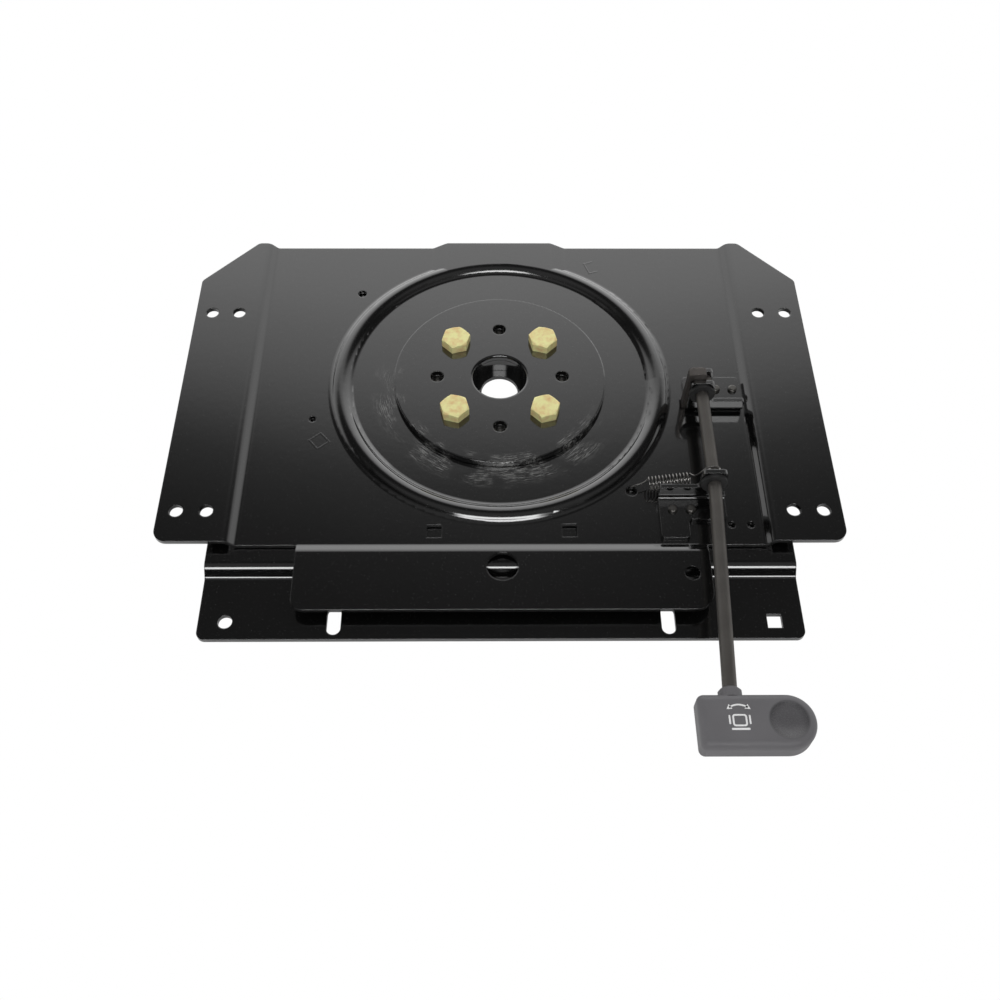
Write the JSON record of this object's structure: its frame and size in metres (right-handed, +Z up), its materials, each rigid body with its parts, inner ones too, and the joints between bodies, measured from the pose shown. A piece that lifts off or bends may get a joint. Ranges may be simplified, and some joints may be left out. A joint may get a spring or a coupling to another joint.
{
  "type": "swivel seat base",
  "caption": "Low swivel base that goes between a vehicle seat and its seat box: two pressed plates on a ball race under a bolted disc, with a sprung release lever.",
  "frame": {"origin": "swivel axis, at the level of the face that rests on the seat box", "axes": "+Z up along the swivel axis, towards the seat; +X to the lever's side; -Y to the front, where the handle is"},
  "size_m": [0.4168, 0.3931, 0.0466],
  "materials": {
    "plate_paint": "gloss",
    "disc_paint": "gloss",
    "bracket_paint": "gloss",
    "hub_steel": "satin",
    "plain_steel": "satin",
    "yellow_zinc": "satin",
    "white_plastic": "matte",
    "polished_steel": "polished",
    "rivet_steel": "satin",
    "black_plastic": "matte",
    "washer_steel": "satin",
    "clip_steel": "polished",
    "spring_steel": "polished",
    "rod_steel": "satin",
    "pawl_steel": "satin",
    "handle_plastic": "satin"
  },
  "bodies": {
    "base": {"lower_plate": "plate_paint", "hub_ring": "hub_steel", "hub_screws": "plain_steel", "retaining_disc": "disc_paint", "disc_bolts": "yellow_zinc"},
    "cage": {"ball_cage": "white_plastic", "bearing_balls": "polished_steel"},
    "turntable": {"upper_plate": "plate_paint", "slip_ring": "white_plastic", "front_bracket": "bracket_paint", "front_rivets": "rivet_steel", "front_bush": "black_plastic", "thrust_washer": "washer_steel", "rear_bracket": "bracket_paint", "rear_rivets": "rivet_steel", "rear_bushes": "black_plastic", "return_spring": "spring_steel"},
    "lever": {"lever_rod": "rod_steel", "locking_pawl": "pawl_steel", "lever_handle": "handle_plastic", "retaining_clip": "clip_steel"}
  },
  "joints": [
    {"name": "swivel", "type": "hinge", "parent": "base", "child": "turntable", "pos_m": [0, 0, 0.0099], "axis": [0, 0, 1], "continuous": true},
    {"name": "cage_turn", "type": "hinge", "parent": "base", "child": "cage", "pos_m": [0, 0, 0.0099], "axis": [0, 0, 1], "continuous": true},
    {"name": "release", "type": "hinge", "parent": "turntable", "child": "lever", "pos_m": [0.1286, -0.06, 0.033], "axis": [0, 1, 0], "range_deg": [-12, 0], "stiffness_Nm_per_rad": 0.2, "springref_deg": -20.05, "deforming": ["return_spring"]}
  ],
  "couplings": [
    {"joint": "cage_turn", "follows": "swivel", "ratio": 0.5}
  ]
}
